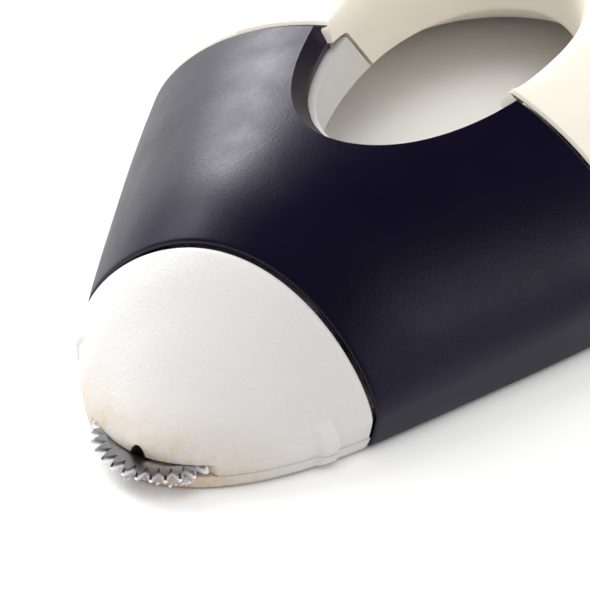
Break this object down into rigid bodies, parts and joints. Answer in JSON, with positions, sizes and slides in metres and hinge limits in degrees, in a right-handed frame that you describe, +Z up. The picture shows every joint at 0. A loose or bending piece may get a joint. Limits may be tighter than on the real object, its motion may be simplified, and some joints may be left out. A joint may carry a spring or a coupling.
{
  "type": "chalk marking wheel",
  "caption": "Palm-held chalk marking wheel with a finger hole, a translucent chalk cartridge, a navy grip sleeve and a cream case.",
  "frame": {"origin": "middle of the footprint, on the surface that the tool lies on", "axes": "+Z up, the nose with the wheel towards -Y, +X to the tool's right seen from behind"},
  "size_m": [0.0588, 0.0942, 0.0179],
  "materials": {
    "cream": "satin moulded plastic",
    "navy": "fine leather grain, satin gloss",
    "white": "frosted translucent plastic",
    "steel": "bright punched steel",
    "chalk": "powder",
    "felt": "felt"
  },
  "bodies": {
    "case": {"upper_shell": "cream", "lower_shell": "cream", "grip_sleeve": "navy", "hole_liner": "white", "cartridge_socket": "white", "detent_spring": "steel", "screw_front_left": "steel", "screw_front_right": "steel", "screw_back_left": "steel", "screw_back_right": "steel"},
    "cartridge": {"nose_cover": "white", "nose_base": "white", "hopper_lid": "white", "filler_plug": "white", "chalk_fill": "chalk", "felt_wiper": "felt", "wheel_axle": "steel"},
    "wheel": {"chalk_wheel": "steel"}
  },
  "joints": [
    {"name": "cartridge_slide", "type": "slide", "parent": "case", "child": "cartridge", "axis": [0, -1, 0], "range_m": [0, 0.015]},
    {"name": "wheel_spin", "type": "hinge", "parent": "cartridge", "child": "wheel", "pos_m": [0, -0.0411, 0.00205], "axis": [0, 0, 1], "continuous": true}
  ]
}
